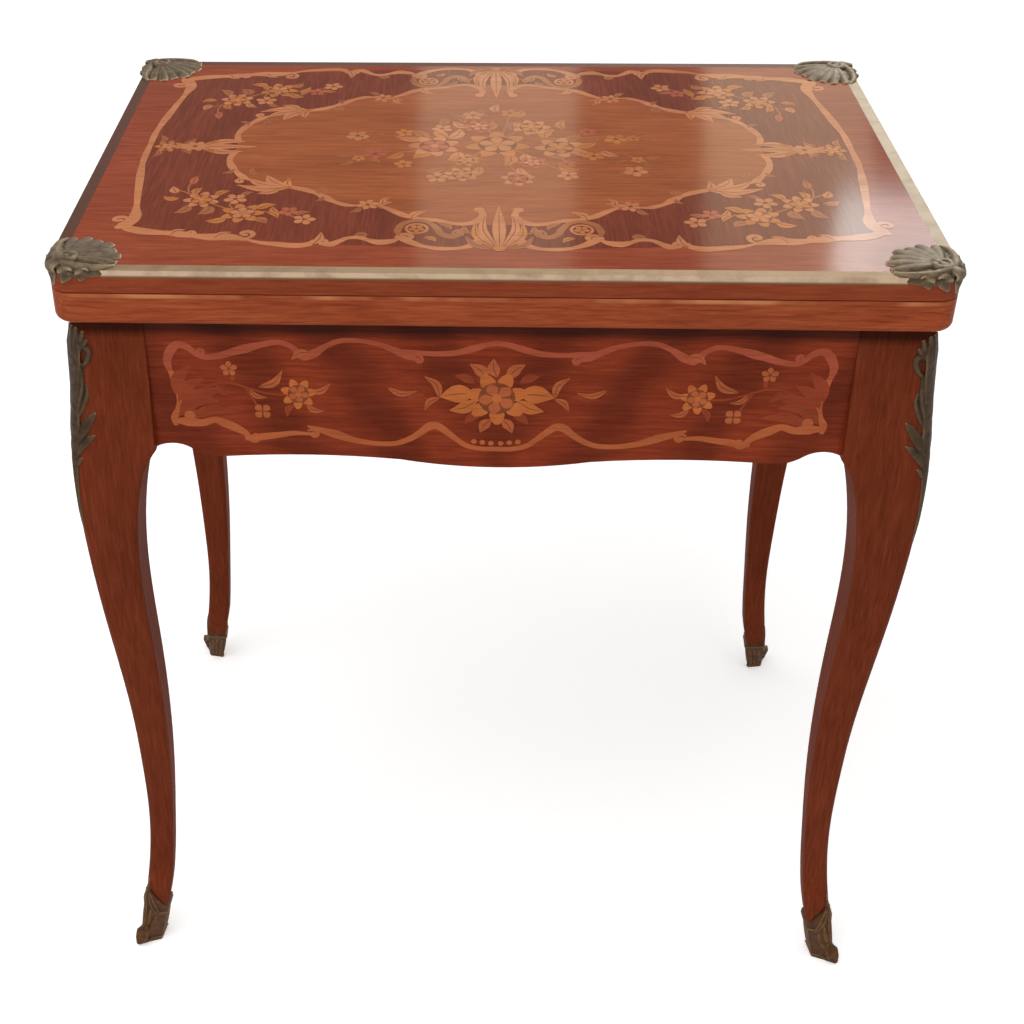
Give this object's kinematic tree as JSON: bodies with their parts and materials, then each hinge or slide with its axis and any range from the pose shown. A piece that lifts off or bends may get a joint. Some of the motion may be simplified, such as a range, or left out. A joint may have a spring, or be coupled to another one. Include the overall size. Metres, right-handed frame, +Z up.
{
  "type": "folding card table",
  "caption": "Turn-and-fold card table with cabriole legs, shaped aprons, a card well and two hinged leaves that open to a square playing field.",
  "frame": {"origin": "on the floor, under the middle of the closed table", "axes": "+Z up, the front faces -Y, +X to the right of someone facing the front"},
  "size_m": [0.714, 0.47, 0.787],
  "materials": {
    "top_wood": "polished veneer with light wood marquetry",
    "frame_wood": "polished veneer with light wood marquetry",
    "carcass_wood": "plain sawn",
    "patinated_bronze": "dark patina, rubbed bright on the crests",
    "banding_brass": "satin",
    "hinge_brass": "satin",
    "steel": "turned",
    "baize": "green baize"
  },
  "bodies": {
    "base": {"leg_front_left": "frame_wood", "leg_front_right": "frame_wood", "leg_back_left": "frame_wood", "leg_back_right": "frame_wood", "sabot_front_left": "patinated_bronze", "sabot_front_right": "patinated_bronze", "sabot_back_left": "patinated_bronze", "sabot_back_right": "patinated_bronze", "knee_mount_front_left": "patinated_bronze", "knee_mount_front_right": "patinated_bronze", "knee_mount_back_left": "patinated_bronze", "knee_mount_back_right": "patinated_bronze", "apron_front": "frame_wood", "apron_back": "frame_wood", "apron_left": "frame_wood", "apron_right": "frame_wood", "well_floor": "carcass_wood", "well_divider": "carcass_wood", "floor_battens": "carcass_wood", "pivot_board": "carcass_wood", "board_battens": "carcass_wood", "bearing_ring": "hinge_brass", "slide_felts": "baize"},
    "lower_leaf_body": {"lower_leaf": "top_wood", "baize_lower": "baize", "pivot_plate": "hinge_brass", "plate_screws": "steel", "pivot_stud": "steel", "pivot_washer": "steel", "pivot_nut": "steel", "stop_pin": "steel", "hinge_screws_lower": "hinge_brass", "hinge_lower_left": "hinge_brass", "hinge_lower_right": "hinge_brass", "hinge_pin_left": "steel", "hinge_pin_right": "steel"},
    "upper_leaf_body": {"upper_leaf": "top_wood", "baize_upper": "baize", "hinge_screws_upper": "hinge_brass", "hinge_upper_left": "hinge_brass", "hinge_upper_right": "hinge_brass", "banding_front": "banding_brass", "banding_back": "banding_brass", "banding_left": "banding_brass", "banding_right": "banding_brass", "corner_mount_front_left": "patinated_bronze", "corner_mount_front_right": "patinated_bronze", "corner_mount_back_left": "patinated_bronze", "corner_mount_back_right": "patinated_bronze"}
  },
  "joints": [
    {"name": "top_swivel", "type": "hinge", "parent": "base", "child": "lower_leaf_body", "pos_m": [0.114, 0.114, 0.7598], "axis": [0, 0, 1], "range_deg": [0, 90]},
    {"name": "leaf_fold", "type": "hinge", "parent": "lower_leaf_body", "child": "upper_leaf_body", "pos_m": [0, 0.228, 0.7598], "axis": [-1, 0, 0], "range_deg": [0, 180]}
  ]
}
